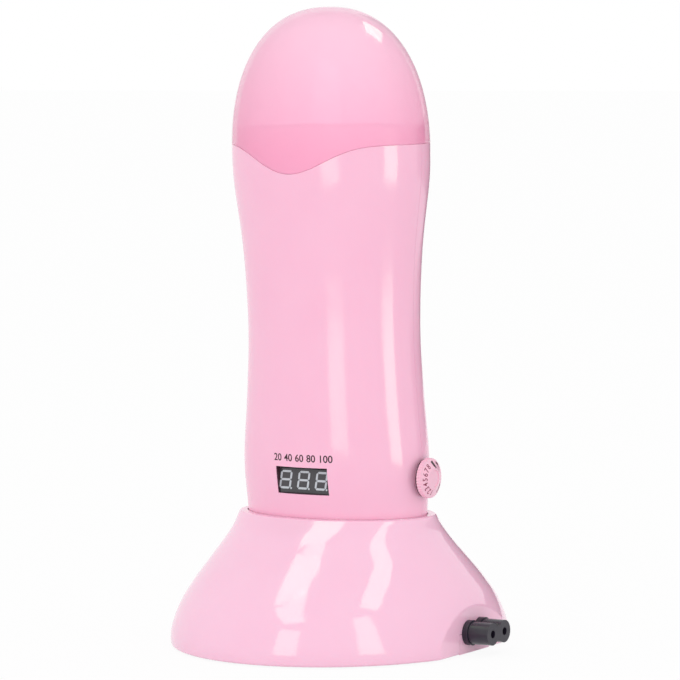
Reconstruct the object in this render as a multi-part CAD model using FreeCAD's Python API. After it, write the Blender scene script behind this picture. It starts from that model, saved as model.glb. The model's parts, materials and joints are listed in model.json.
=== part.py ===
import FreeCAD, Part
import math
import os

# Roll-on wax heater on its docking base: an oval handle that holds a wax cartridge in a heated
# well, a clear dome cap, a dial on the right side and a round base with a socket for the handle.
# Millimetres. +Z is up, the front (display) faces -Y, the dial faces +X, and the origin is the
# middle of the base on the table.

V = FreeCAD.Vector
AXIS_X = V(1, 0, 0)
AXIS_Y = V(0, 1, 0)
AXIS_Z = V(0, 0, 1)

# ---------------------------------------------------------------- handle outer form
# Each level of the handle has a height, a half width along X and a half depth along Y.
tail_z = 22.0
tail_w = 36.5
tail_d = 21.5
lip_z = 50.0
lip_w = 37.9
lip_d = 23.0
hip_z = 70.0
hip_w = 38.7
hip_d = 25.8
grip_z = 95.0
grip_w = 36.8
grip_d = 25.5
waist_z = 120.0
waist_w = 35.6
waist_d = 25.0
chest_z = 150.0
chest_w = 36.8
chest_d = 26.4
shoulder_w = 40.7
shoulder_d = 29.7
dome_height = 55.3
dome_power = 2.27
tail_round = 2.5
level_step = 12.0

# ---------------------------------------------------------------- rim between handle and cap
rim_z = 191.5
shoulder_drop = 3.5
dip_depth = 10.4
dip_half_width = 40.0
rim_gap = 0.3
cap_wall = 1.8
cap_fit = 0.35

# ---------------------------------------------------------------- making
# Cutting tools reach this far past what they cut.
over = 1.0

# ---------------------------------------------------------------- handle shells
shell_wall = 2.2
seam_gap = 0.1
window_z = 64.9
fit = 0.15
slide_fit = 0.4

# ---------------------------------------------------------------- neck ring and wax well
ring_wall = 1.8
ring_drop = 14.5
ring_rise = 6.5
deck_drop = 7.5
deck_t = 2.0
bead_rise = 2.2
bead_r = 0.5
bead_proud = 0.12
nub_w = 5.0
nub_h = 1.6
nub_front_drop = 6.3
nub_side_rise = 4.1
well_w = 50.0
well_d = 30.0
well_corner = 12.0
well_bottom_z = 90.0
chamber_wall = 1.5
flange_w = 2.0
flange_t = 1.5

# ---------------------------------------------------------------- heating parts
wrap_t = 1.1
wrap_rise = 13.5
wrap_drop = 8.0
touch = 0.1
ptc_w = 24.0
ptc_t = 2.4
ptc_rise = 5.0
ptc_len = 45.0
ptc_corner = 1.0
clamp_t = 0.7
clamp_foot = 2.6
clamp_h = 34.0
sensor_r = 1.2
sensor_len = 6.0
sensor_gap = 1.0
sensor_pad_out = 2.0
fuse_r = 1.7
fuse_len = 10.0
fuse_rise = 2.5
heater_lead_x = 8.0

# ---------------------------------------------------------------- boards and display
display_face_y = -22.5
display_t = 6.1
window_fit = 0.2
window_top_gap = 0.85
board_t = 1.6
board_w = 38.0
board_h = 42.0
board_drop = 2.5
board_boss_x = 15.0
board_boss_r = 2.3
board_boss_in = 3.8
digit_h = 7.1
digit_w = 5.2
digit_pitch = 8.0
digit_shift = -0.4
digit_slant = 10.0
digit_side_room = 0.65
digit_end_room = 1.65
segment_w = 0.8
segment_gap = 0.12
segment_t = 0.12

# ---------------------------------------------------------------- board components
film_w = 12.0
film_h = 13.0
film_t = 6.0
triac_w = 10.0
triac_h = 10.0
triac_t = 4.5
part_gap = 7.0
part_rise = 16.0
capacitor_r = 3.2
capacitor_len = 7.0
low_part_x = 10.0
low_part_rise = 8.0
chip_w = 8.0
chip_h = 5.0
chip_t = 1.6
resistor_r = 1.1
resistor_len = 8.0
resistor_gap = 2.0

# ---------------------------------------------------------------- dial
dial_z = 65.3
dial_r = 7.6
dial_proud = 5.2
dial_t = 3.5
dial_rim_t = 1.9
dial_rim_edge = 0.5
dial_face_r = 3.8
dial_top_t = 1.0
dial_hub_r = 4.5
dial_hub_len = 1.2
dial_ribs = 40
dial_rib_depth = 0.22
dial_dish_r = 3.2
dial_dish_t = 0.2
shaft_r = 3.0
shaft_fit = 0.05
bushing_wall = 0.8
bushing_len = 7.9
pot_t = 6.5
pot_w = 11.0
pot_h = 12.0
dial_board_in = 23.4
dial_board_h = 17.0
dial_board_end_y = 8.0

# ---------------------------------------------------------------- figure-8 couplers and inlet
pin_pitch = 8.6
pin_r = 1.2
barrel_r = 4.25
web_h = 5.2
socket_r = 1.25
mouth_r = 1.5
mouth_len = 2.5
sleeve_wall = 0.6
sleeve_len = 12.5
pin_fit = 0.3
tail_r = 0.8
tail_len = 3.0

inlet_half = 11.0
inlet_r = 6.0
inlet_flange = 1.6
inlet_back_t = 4.0
recess_depth = 12.0
recess_room = 1.0
pin_reach = 9.0
pin_tail = 3.0

# ---------------------------------------------------------------- base outer form
base_r = 65.0
base_rim_z = 0.6
base_foot_z = 3.0
# The lower levels come in from the foot's radius, and the upper ones stand out from the top edge,
# which keeps its rim round the handle.
bulge_z = 9.0
bulge_in = 1.0
swell_z = 17.5
swell_in = 4.6
low_z = 25.5
low_in_w = 9.3
low_in_d = 11.5
mid_drop = 18.5
mid_out_w = 10.2
mid_out_d = 20.3
high_drop = 12.5
high_out_w = 6.1
high_out_d = 13.5
neck_drop = 6.9
neck_out_w = 2.2
neck_out_d = 8.6
top_rise = 0.5
top_rim_w = 3.1
top_rim_d = 3.6
edge_round = 1.0
rim_in = 0.5
base_wall = 2.2
dock_wall = 1.8
base_step = 3.4
rest_gap = 0.2

# ---------------------------------------------------------------- side coupler and its pocket
pocket_in = 3.8
pocket_round = 2.0
coupler_out = 10.8
coupler_z = 8.3
coupler_len = 25.0
collar_len = 2.2
collar_proud = 0.5
lock_proud = 1.2
lock_t = 1.8
tab_half = 10.5

# ---------------------------------------------------------------- base underside
cover_z = 1.6
cover_t = 2.0
cover_gap = 0.3
foot_r = 6.0
foot_in = 17.0
foot_round = 0.4
pad_h = 2.4
screw_seat_t = 1.6
post_r = 3.4
post_in = 19.0
coupler_flange_t = 1.6
retainer_t = 1.6
retainer_half_x = 16.0
retainer_half_y = 12.0
dock_screw_x = 12.5
cradle_in = 10.2
cradle_t = 2.0
cradle_half = 9.5

# ---------------------------------------------------------------- fasteners and leads
screw_r = 1.25
screw_head_r = 2.5
screw_head_h = 1.8
screw_len = 9.0
cross_reach = 1.55
cross_width = 0.7
cross_depth = 1.1
boss_wall = 1.6
boss_clear = 0.05
upper_screw_z = 112.0
lower_screw_x = 24.0
lower_screw_rise = 14.0
screw_seat_y = 6.0
board_screw_len = 5.0
dock_screw_len = 4.6
lead_r = 0.8
thin_lead_r = 0.45
mains_rise = 9.0
mains_step = 7.0
lead_straight = 4.0

# ---------------------------------------------------------------- derived places
shoulder_z = rim_z - shoulder_drop
half_pitch = pin_pitch / 2
display_w = 2 * digit_pitch + digit_w + 2 * digit_side_room
window_w = display_w + 2 * window_fit
window_h = digit_h + 2 * digit_end_room
board_front_y = display_face_y + display_t
board_rear_y = board_front_y + board_t
ring_w = shoulder_w - cap_wall - cap_fit - fit
ring_d = shoulder_d - cap_wall - cap_fit - fit
ring_bottom_z = rim_z - ring_drop
ring_top_z = rim_z + ring_rise
deck_z = rim_z - deck_drop
deck_top_z = deck_z + deck_t
bead_z = rim_z + bead_rise
chamber_w = well_w + 2 * chamber_wall
chamber_d = well_d + 2 * chamber_wall
chamber_corner = well_corner + chamber_wall
chamber_bottom_z = well_bottom_z - chamber_wall
heater_y = chamber_d / 2 + touch
wrap_bottom_z = chamber_bottom_z + wrap_rise
wrap_top_z = deck_z - wrap_drop
ptc_bottom_z = wrap_bottom_z + ptc_rise
ptc_top_z = ptc_bottom_z + ptc_len
fuse_bottom_z = chamber_bottom_z + fuse_rise
board_top_z = chamber_bottom_z - board_drop
board_bottom_z = board_top_z - board_h
boss_r = screw_r + boss_wall
upper_screw_x = chamber_w / 2 + touch + wrap_t + boss_clear + boss_r
lower_screw_z = tail_z + lower_screw_rise
dial_face_x = hip_w + dial_proud
dial_back_x = dial_face_x - dial_t
dial_board_x = dial_back_x - dial_board_in
pot_front_x = dial_board_x + board_t + pot_t
dock_floor_z = tail_z - rest_gap
dock_under_z = dock_floor_z - base_wall
recess_top_z = tail_z + recess_depth
pin_tip_z = recess_top_z - pin_reach
inlet_top_z = recess_top_z + inlet_back_t
dock_tip_z = recess_top_z - recess_room
sleeve_r = socket_r + sleeve_wall
dock_sleeve_in_r = pin_r + pin_fit
dock_sleeve_r = dock_sleeve_in_r + sleeve_wall
cover_top_z = cover_z + cover_t
retainer_top_z = dock_under_z - coupler_flange_t
bulge_r = base_r - bulge_in
swell_r = base_r - swell_in
top_z = lip_z + top_rise
top_w = lip_w + top_rim_w
top_d = lip_d + top_rim_d
foot_ring_r = base_r - foot_in
post_ring_r = base_r - post_in
pocket_x = bulge_r - pocket_in
coupler_face_x = pocket_x + coupler_out
coupler_back_x = coupler_face_x - coupler_len
cradle_x = pocket_x - cradle_in

HANDLE_LEVELS = [
    (tail_z, tail_w, tail_d),
    (lip_z, lip_w, lip_d),
    (hip_z, hip_w, hip_d),
    (grip_z, grip_w, grip_d),
    (waist_z, waist_w, waist_d),
    (chest_z, chest_w, chest_d),
    (shoulder_z, shoulder_w, shoulder_d),
]
BASE_LEVELS = [
    (base_rim_z, base_r - rim_in, base_r - rim_in),
    (base_foot_z, base_r, base_r),
    (bulge_z, bulge_r, bulge_r),
    (swell_z, swell_r, swell_r),
    (low_z, base_r - low_in_w, base_r - low_in_d),
    (top_z - mid_drop, top_w + mid_out_w, top_d + mid_out_d),
    (top_z - high_drop, top_w + high_out_w, top_d + high_out_d),
    (top_z - neck_drop, top_w + neck_out_w, top_d + neck_out_d),
    (top_z, top_w, top_d),
]


# ---------------------------------------------------------------- shape helpers
def box(x0, x1, y0, y1, z0, z1):
    return Part.makeBox(x1 - x0, y1 - y0, z1 - z0, V(x0, y0, z0))


def rod(r, start, direction, length):
    return Part.makeCylinder(r, length, start, direction)


def tube(r_out, r_in, start, direction, length):
    return rod(r_out, start, direction, length).cut(rod(r_in, start, direction, length))


def joined(shapes):
    return shapes[0].fuse(shapes[1:]).removeSplitter()


def hollow(outer, space):
    """The outer solid with a closed space inside it that touches none of its faces."""
    return Part.makeSolid(Part.makeCompound([outer.Shells[0], space.Shells[0].reversed()]))


def scaled_depth(shape, ratio):
    """The shape with its Y sizes multiplied by ratio."""
    matrix = FreeCAD.Matrix()
    matrix.scale(1, ratio, 1)
    return shape.transformGeometry(matrix)


def oval_wire(w, d, z):
    circle = Part.makeCircle(w, V(0, 0, z))
    return Part.Wire(scaled_depth(circle, d / w).Edges)


def oval_rod(w, d, z0, z1):
    return Part.Face(oval_wire(w, d, z0)).extrude(V(0, 0, z1 - z0))


def rounded_rod(w, d, corner, z0, z1):
    """A rounded rectangle of full size w by d, between two heights."""
    block = box(-w / 2, w / 2, -d / 2, d / 2, z0, z1)
    upright = [e for e in block.Edges if abs(e.tangentAt(e.FirstParameter).z) > 0.9]
    return block.makeFillet(corner, upright)


def size_at(levels, z, end_slope_zero):
    """Half width and half depth at height z on a smooth curve through the levels."""
    last = len(levels) - 1
    i = 0
    while i < last - 1 and z > levels[i + 1][0]:
        i += 1
    z0 = levels[i][0]
    z1 = levels[i + 1][0]
    span = z1 - z0
    t = (z - z0) / span
    sizes = []
    for k in (1, 2):
        def slope(j):
            if j == last and end_slope_zero:
                return 0.0
            a = levels[max(j - 1, 0)]
            b = levels[min(j + 1, last)]
            return (b[k] - a[k]) / (b[0] - a[0])

        start = (2 * t**3 - 3 * t**2 + 1) * levels[i][k] + (t**3 - 2 * t**2 + t) * span * slope(i)
        end = (3 * t**2 - 2 * t**3) * levels[i + 1][k] + (t**3 - t**2) * span * slope(i + 1)
        sizes.append(start + end)
    return sizes


def handle_size(z):
    if z <= shoulder_z:
        return size_at(HANDLE_LEVELS, z, True)
    rise = (z - shoulder_z) / dome_height
    share = (1 - rise**dome_power) ** (1 / dome_power)
    return [shoulder_w * share, shoulder_d * share]


def handle_form(grow, z0, z1):
    """The handle's lofted form between two heights, grown by grow all round."""
    count = max(2, math.ceil((z1 - z0) / level_step))
    wires = []
    for i in range(count + 1):
        z = z0 + (z1 - z0) * i / count
        w, d = handle_size(z)
        wires.append(oval_wire(w + grow, d + grow, z))
    return Part.makeLoft(wires, True, False)


def dome_form(shrink):
    """The rounded top above the shoulder, moved in by shrink all round."""
    w = shoulder_w - shrink
    height = dome_height - shrink
    count = 12
    points = []
    for i in range(count + 1):
        t = math.pi / 2 * i / count
        x = w * max(math.cos(t), 0.0) ** (2 / dome_power)
        z = height * math.sin(t) ** (2 / dome_power)
        points.append(V(x, 0, shoulder_z + z))
    points[-1] = V(0, 0, shoulder_z + height)
    curve = Part.BSplineCurve()
    curve.interpolate(Points=points, InitialTangent=V(0, 0, 1), FinalTangent=V(-1, 0, 0))
    corner = V(0, 0, shoulder_z)
    edges = [curve.toShape(), Part.makeLine(points[-1], corner), Part.makeLine(corner, points[0])]
    face = Part.Face(Part.Wire(edges))
    solid = face.revolve(V(0, 0, 0), AXIS_Z, 360)
    return scaled_depth(solid, (shoulder_d - shrink) / w)


def below_rim(raise_by):
    """Everything below the rim line, which dips in a wave at the front."""
    reach = 2 * shoulder_w
    floor = tail_z - over
    high = rim_z + raise_by
    count = 16
    points = []
    for i in range(count + 1):
        share = 2 * i / count - 1
        dip = dip_depth * (1 - share**2) ** 4
        points.append(V(dip_half_width * share, -reach, high - dip))
    wave = Part.BSplineCurve()
    wave.interpolate(Points=points, InitialTangent=AXIS_X, FinalTangent=AXIS_X)
    corners = [V(reach, -reach, high), V(reach, -reach, floor), V(-reach, -reach, floor)]
    corners.append(V(-reach, -reach, high))
    edges = [wave.toShape(), Part.makeLine(points[-1], corners[0])]
    for i in range(3):
        edges.append(Part.makeLine(corners[i], corners[i + 1]))
    edges.append(Part.makeLine(corners[3], points[0]))
    front = Part.Face(Part.Wire(edges)).extrude(V(0, reach, 0))
    rear = box(-reach, reach, 0, reach, floor, high)
    return front.fuse(rear)


def figure_eight(grow, start, direction, across, length):
    """Two barrels side by side and the web between them, from start along direction."""
    up = direction.cross(across)
    barrels = []
    for side in (-1, 1):
        barrels.append(rod(barrel_r + grow, start + across * (side * half_pitch), direction, length))
    half_web = web_h / 2 + grow
    corners = []
    for a, b in ((-1, -1), (1, -1), (1, 1), (-1, 1)):
        corners.append(start + across * (a * half_pitch) + up * (b * half_web))
    web = Part.Face(Part.makePolygon(corners + corners[:1])).extrude(direction * length)
    return joined([barrels[0], web, barrels[1]])


def stadium(half, r, z0, z1):
    """A slot-shaped block that is long in Y."""
    block = box(-r, r, r - half, half - r, z0, z1)
    ends = [rod(r, V(0, s * (half - r), z0), AXIS_Z, z1 - z0) for s in (-1, 1)]
    return joined([block] + ends)


def lead(points, r):
    """A round lead along straight runs joined by tangent arcs."""
    edges = []
    at = points[0]
    for i in range(1, len(points) - 1):
        corner = points[i]
        run_in = corner - points[i - 1]
        run_out = points[i + 1] - corner
        half_turn = run_in.getAngle(run_out) / 2
        cut = 0.45 * min(run_in.Length, run_out.Length)
        radius = cut / math.tan(half_turn)
        way_in = V(run_in).normalize()
        way_out = V(run_out).normalize()
        begin = corner - way_in * cut
        finish = corner + way_out * cut
        to_middle = V(way_out - way_in).normalize()
        middle = corner + to_middle * (radius / math.cos(half_turn) - radius)
        edges.append(Part.makeLine(at, begin))
        edges.append(Part.Arc(begin, middle, finish).toShape())
        at = finish
    edges.append(Part.makeLine(at, points[-1]))
    path = Part.Wire(edges)
    way = (points[1] - points[0]).normalize()
    ring = Part.Wire(Part.makeCircle(r, points[0], way))
    return path.makePipeShell([ring], True, False)


def screw(seat, direction, length):
    """A pan-head screw: its head stands back from the seat and its shank goes along direction."""
    head = rod(screw_head_r, seat, direction * -1, screw_head_h)
    shank = rod(screw_r, seat, direction, length)
    solid = joined([head, shank])
    side = AXIS_X if abs(direction.x) < 0.5 else AXIS_Y
    other = direction.cross(side)
    top = seat - direction * screw_head_h
    for a, b in ((side, other), (other, side)):
        long_half = a * cross_reach
        thin_half = b * (cross_width / 2)
        corners = [top - long_half - thin_half, top + long_half - thin_half]
        corners += [top + long_half + thin_half, top - long_half + thin_half]
        slot = Part.Face(Part.makePolygon(corners + corners[:1]))
        solid = solid.cut(slot.extrude(direction * cross_depth))
    return solid


# ---------------------------------------------------------------- handle
def shell_screw_seats():
    seats = []
    for side in (-1, 1):
        seats.append(V(side * lower_screw_x, screw_seat_y, lower_screw_z))
        seats.append(V(side * upper_screw_x, screw_seat_y, upper_screw_z))
    return seats


def board_screw_places():
    places = []
    for side in (-1, 1):
        for z in (board_bottom_z + board_boss_in, board_top_z - board_boss_in):
            places.append(V(side * board_boss_x, board_rear_y, z))
    return places


def handle_skin():
    """The handle's whole shell, before it is split: open at the rim, with the ring's seat inside."""
    above = rim_z + over
    outer = handle_form(0, tail_z, above)
    low_edges = [e for e in outer.Edges if e.BoundBox.ZMax < tail_z + 0.01]
    outer = outer.makeFillet(tail_round, low_edges)
    seat_z = ring_bottom_z - touch
    cavity = handle_form(-shell_wall, tail_z + shell_wall, seat_z)
    ring_seat = oval_rod(ring_w + touch, ring_d + touch, seat_z, above - touch)
    return hollow(outer, cavity.fuse(ring_seat)).common(below_rim(0))


def screw_bosses():
    """Posts for the shell screws and the board screws, clipped inside the wall."""
    deep = handle_form(-shell_wall / 2, tail_z + shell_wall / 2, ring_bottom_z)
    reach = shoulder_d
    posts = []
    for seat in shell_screw_seats():
        posts.append(rod(boss_r, V(seat.x, -reach, seat.z), AXIS_Y, 2 * reach))
    for place in board_screw_places():
        posts.append(rod(board_boss_r, V(place.x, -reach, place.z), AXIS_Y, board_front_y + reach))
    return [post.common(deep) for post in posts]


def shell_openings():
    """What is cut out of the shell: screw holes, shaft hole, inlet hole and display window."""
    reach = shoulder_d
    thread_r = screw_r + touch / 2
    cuts = []
    for seat in shell_screw_seats():
        cuts.append(rod(thread_r, seat - AXIS_Y * (screw_len + fit), AXIS_Y, screw_len + fit))
        cuts.append(rod(screw_head_r + fit, seat, AXIS_Y, reach))
    for place in board_screw_places():
        start = place - AXIS_Y * (board_screw_len + fit)
        cuts.append(rod(thread_r, start, AXIS_Y, board_screw_len))
    cuts.append(rod(shaft_r + slide_fit, V(0, 0, dial_z), AXIS_X, 2 * shoulder_w))
    cuts.append(stadium(inlet_half + fit, inlet_r + fit, tail_z - over, tail_z + shell_wall + over))
    half_w = window_w / 2
    half_h = window_h / 2
    cuts.append(box(-half_w, half_w, -reach, board_front_y - over, window_z - half_h, window_z + half_h))
    return cuts


def handle_shells():
    """The front and the rear half of the handle's shell."""
    skin = joined([handle_skin()] + screw_bosses()).cut(shell_openings())
    big = 2 * shoulder_w
    gap = seam_gap / 2
    front = skin.common(box(-big, big, -big, -gap, 0, rim_z + over))
    rear = skin.common(box(-big, big, gap, big, 0, rim_z + over))
    return front, rear


def neck_ring():
    """The collar that the cap slides over, with the deck that carries the heating chamber."""
    outer = oval_rod(ring_w, ring_d, ring_bottom_z, ring_top_z)
    inner = oval_rod(ring_w - ring_wall, ring_d - ring_wall, ring_bottom_z - over, ring_top_z + over)
    ring = outer.cut(inner)
    deck = oval_rod(ring_w - ring_wall / 2, ring_d - ring_wall / 2, deck_z, deck_top_z)
    gap = 2 * fit
    hole = rounded_rod(
        chamber_w + gap, chamber_d + gap, chamber_corner + fit, deck_z - over, deck_top_z + over
    )
    bead = oval_rod(ring_w + bead_proud, ring_d + bead_proud, bead_z - bead_r, bead_z + bead_r)
    bead = bead.cut(oval_rod(ring_w - ring_wall / 2, ring_d - ring_wall / 2, bead_z - over, bead_z + over))
    grown = oval_rod(ring_w + bead_proud, ring_d + bead_proud, ring_bottom_z, ring_top_z)
    nubs = []
    front = (rim_z - nub_front_drop, V(0, -ring_d, 0))
    side = (rim_z + nub_side_rise, V(ring_w, 0, 0))
    for z, centre in (front, side):
        half = nub_w / 2
        block = box(-half, half, -half, half, z - nub_h / 2, z + nub_h / 2)
        block.translate(centre)
        nubs.append(block.common(grown).cut(inner))
    return joined([ring, deck.cut(hole), bead] + nubs)


def heating_chamber():
    """The aluminium cup that the wax cartridge drops into, hung from the deck by its flange."""
    flange_size = 2 * flange_w
    body = rounded_rod(chamber_w, chamber_d, chamber_corner, chamber_bottom_z, deck_top_z)
    flange = rounded_rod(
        chamber_w + flange_size,
        chamber_d + flange_size,
        chamber_corner + flange_w,
        deck_top_z,
        deck_top_z + flange_t,
    )
    well = rounded_rod(well_w, well_d, well_corner, well_bottom_z, deck_top_z + flange_t + over)
    return joined([body, flange]).cut(well)


def insulation_wrap():
    """The felt band round the chamber, open at the rear where the heater plate sits."""
    inner_gap = 2 * touch
    outer_gap = inner_gap + 2 * wrap_t
    outer = rounded_rod(
        chamber_w + outer_gap,
        chamber_d + outer_gap,
        chamber_corner + touch + wrap_t,
        wrap_bottom_z,
        wrap_top_z,
    )
    inner = rounded_rod(
        chamber_w + inner_gap,
        chamber_d + inner_gap,
        chamber_corner + touch,
        wrap_bottom_z - over,
        wrap_top_z + over,
    )
    half = ptc_w / 2 + clamp_t + clamp_foot + 2 * fit
    opening = box(-half, half, 0, chamber_d, wrap_bottom_z - over, wrap_top_z + over)
    return outer.cut(inner).cut(opening)


def ptc_heater():
    half = ptc_w / 2
    plate = box(-half, half, heater_y, heater_y + ptc_t, ptc_bottom_z, ptc_top_z)
    upright = [e for e in plate.Edges if abs(e.tangentAt(e.FirstParameter).y) > 0.9]
    return plate.makeFillet(ptc_corner, upright)


def heater_clamp():
    """A pressed steel bridge that holds the heater plate against the chamber."""
    middle = (ptc_bottom_z + ptc_top_z) / 2
    z0 = middle - clamp_h / 2
    z1 = middle + clamp_h / 2
    half = ptc_w / 2 + touch
    back = heater_y + ptc_t + touch
    bridge = box(-half - clamp_t, half + clamp_t, heater_y, back + clamp_t, z0, z1)
    bridge = bridge.cut(box(-half, half, heater_y - over, back, z0 - over, z1 + over))
    foot_end = half + clamp_t + clamp_foot
    feet = []
    for side in (-1, 1):
        ends = sorted((side * half, side * foot_end))
        feet.append(box(ends[0], ends[1], heater_y, heater_y + clamp_t, z0, z1))
    return joined([bridge] + feet)


def thermistor():
    x = chamber_w / 2 + touch + sensor_r
    bead = rod(sensor_r, V(x, 0, wrap_bottom_z - sensor_gap - sensor_len), AXIS_Z, sensor_len)
    return bead.makeFillet(sensor_r / 2, [bead.Edges[0]])


def thermal_fuse():
    y = heater_y + fuse_r
    can = rod(fuse_r, V(-heater_lead_x, y, fuse_bottom_z), AXIS_Z, fuse_len)
    stub_start = V(-heater_lead_x, y, fuse_bottom_z + fuse_len)
    stub = rod(thin_lead_r, stub_start, AXIS_Z, ptc_bottom_z - stub_start.z)
    return joined([can, stub])


def control_board():
    half = board_w / 2
    board = box(-half, half, board_front_y, board_rear_y, board_bottom_z, board_top_z)
    for place in board_screw_places():
        start = place - AXIS_Y * (board_t + over)
        board = board.cut(rod(screw_r + fit, start, AXIS_Y, board_t + 2 * over))
    return board


def board_components():
    """Film capacitor, triac, electrolytic capacitor, control chip and resistor."""
    y = board_rear_y
    half_gap = part_gap / 2
    z = board_bottom_z + part_rise
    film = box(-half_gap - film_w, -half_gap, y, y + film_t, z, z + film_h)
    triac = box(half_gap, half_gap + triac_w, y, y + triac_t, z, z + triac_h)
    z = board_bottom_z + low_part_rise
    capacitor = rod(capacitor_r, V(low_part_x, y, z), AXIS_Y, capacitor_len)
    chip_x = -low_part_x
    half_chip = chip_h / 2
    chip = box(chip_x, chip_x + chip_w, y, y + chip_t, z - half_chip, z + half_chip)
    start = V(chip_x, y + resistor_r, z + half_chip + resistor_gap)
    resistor = rod(resistor_r, start, AXIS_X, resistor_len)
    return Part.makeCompound([film, triac, capacitor, chip, resistor])


def dial_board():
    half = dial_board_h / 2
    x = dial_board_x
    return box(x, x + board_t, board_rear_y, dial_board_end_y, dial_z - half, dial_z + half)


def display_module():
    half = display_w / 2
    z0 = window_z - window_h / 2 + window_fit
    z1 = window_z + window_h / 2 - window_top_gap
    return box(-half, half, display_face_y, board_front_y, z0, z1)


def display_segments():
    """Three slanted seven-segment digits with their points, just proud of the module's face."""
    lean = math.tan(math.radians(digit_slant))
    half_w = digit_w / 2 - segment_w / 2
    half_h = digit_h / 2 - segment_w / 2
    gap = segment_gap
    point = half = segment_w / 2

    def bar(x, z, along_x, length):
        """One bar with pointed ends, leaned with its digit."""
        end = length / 2 - gap
        flat = end - half
        if along_x:
            outline = [(-end, 0), (-flat, half), (flat, half), (end, 0), (flat, -half), (-flat, -half)]
        else:
            outline = [(0, -end), (half, -flat), (half, flat), (0, end), (-half, flat), (-half, -flat)]
        corners = []
        for dx, dz in outline:
            height = z + dz
            corners.append(V(x + dx + height * lean, display_face_y, window_z + height))
        face = Part.Face(Part.makePolygon(corners + corners[:1]))
        return face.extrude(V(0, -segment_t, 0))

    solids = []
    for place in (-1, 0, 1):
        x = digit_shift + place * digit_pitch
        for z in (-half_h, 0, half_h):
            solids.append(bar(x, z, True, 2 * half_w))
        for side in (-1, 1):
            for z in (-half_h / 2, half_h / 2):
                solids.append(bar(x + side * half_w, z, False, half_h))
        spot = V(x + half_w + 1.5 * point - half_h * lean, display_face_y, window_z - half_h - gap)
        solids.append(rod(point, spot, AXIS_Y * -1, segment_t))
    return Part.makeCompound(solids)


def potentiometer():
    x = dial_board_x + board_t
    can = box(x, pot_front_x, -pot_w / 2, pot_w / 2, dial_z - pot_h / 2, dial_z + pot_h / 2)
    hole_r = shaft_r + shaft_fit
    bushing = tube(hole_r + bushing_wall, hole_r, V(pot_front_x, 0, dial_z), AXIS_X, bushing_len)
    return joined([can, bushing])


def inlet_housing():
    """The figure-8 appliance inlet in the handle's foot."""
    floor = tail_z + shell_wall
    body = stadium(inlet_half, inlet_r, tail_z, inlet_top_z)
    wide = stadium(inlet_half + inlet_flange, inlet_r + inlet_flange, floor, floor + inlet_flange)
    recess = figure_eight(slide_fit, V(0, 0, tail_z - over), AXIS_Z, AXIS_Y, recess_depth + over)
    body = joined([body, wide]).cut(recess)
    for side in (-1, 1):
        body = body.cut(rod(pin_r, V(0, side * half_pitch, tail_z), AXIS_Z, inlet_top_z))
    return body


def inlet_pins():
    length = inlet_top_z + pin_tail - pin_tip_z
    pins = []
    for side in (-1, 1):
        pin = rod(pin_r, V(0, side * half_pitch, pin_tip_z), AXIS_Z, length)
        tip = [e for e in pin.Edges if e.BoundBox.ZMax < pin_tip_z + 0.01]
        pins.append(pin.makeFillet(pin_r / 2, tip))
    return Part.makeCompound(pins)


def mains_leads():
    start_z = inlet_top_z + pin_tail
    leads = []
    for side, rise in ((-1, mains_rise), (1, mains_rise + mains_step)):
        y = side * half_pitch
        z = start_z + rise
        leads.append(lead([V(0, y, start_z), V(0, y, z), V(0, board_rear_y, z)], lead_r))
    return Part.makeCompound(leads)


def heater_leads():
    z = board_top_z - 2 * board_boss_in
    fuse_y = heater_y + fuse_r
    plate_y = heater_y + ptc_t / 2
    leads = []
    to_fuse = (-heater_lead_x, fuse_y, fuse_bottom_z)
    to_plate = (heater_lead_x, plate_y, ptc_bottom_z)
    for x, y, end_z in (to_fuse, to_plate):
        leads.append(lead([V(x, board_rear_y, z), V(x, y, z), V(x, y, end_z)], lead_r))
    return Part.makeCompound(leads)


def sensor_leads():
    x = chamber_w / 2 + touch + sensor_r
    start_z = wrap_bottom_z - sensor_gap - sensor_len
    turn_z = board_top_z - sensor_gap
    leads = []
    for side in (-1, 1):
        y = side * sensor_r / 2
        end_x = board_boss_x + sensor_pad_out - y
        turns = [V(x, y, turn_z), V(end_x, y, turn_z)]
        end = V(end_x, board_rear_y, turn_z)
        leads.append(lead([V(x, y, start_z)] + turns + [end], thin_lead_r))
    return Part.makeCompound(leads)


def shell_screws():
    return Part.makeCompound([screw(s, AXIS_Y * -1, screw_len) for s in shell_screw_seats()])


def board_screws():
    places = board_screw_places()
    return Part.makeCompound([screw(p, AXIS_Y * -1, board_screw_len) for p in places])


# ---------------------------------------------------------------- dial and cap
def dial():
    """The thumb dial: a finely ribbed rim, a face that rises in a low cone, and a dished centre."""
    corners = []
    for i in range(2 * dial_ribs):
        angle = math.pi * i / dial_ribs
        r = dial_r - dial_rib_depth * (i % 2)
        corners.append(V(dial_back_x, r * math.cos(angle), dial_z + r * math.sin(angle)))
    rim = Part.Face(Part.makePolygon(corners + corners[:1]))
    rim = rim.extrude(V(dial_rim_t, 0, 0))
    foot = V(dial_back_x + dial_rim_t, 0, dial_z)
    face = Part.makeCone(dial_r - dial_rim_edge, dial_face_r, dial_t - dial_rim_t, foot, AXIS_X)
    dish = rod(dial_dish_r, V(dial_face_x - dial_dish_t, 0, dial_z), AXIS_X, dial_t)
    hub_start = V(dial_back_x - dial_hub_len, 0, dial_z)
    hub = rod(dial_hub_r, hub_start, AXIS_X, dial_hub_len)
    bore_len = dial_hub_len + dial_t - dial_top_t
    bore = rod(shaft_r + touch / 2, hub_start, AXIS_X, bore_len)
    return joined([rim, face, hub]).cut(dish).cut(bore)


def dial_shaft():
    start = pot_front_x + fit
    end = dial_face_x - dial_top_t - touch
    return rod(shaft_r, V(start, 0, dial_z), AXIS_X, end - start)


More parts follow.
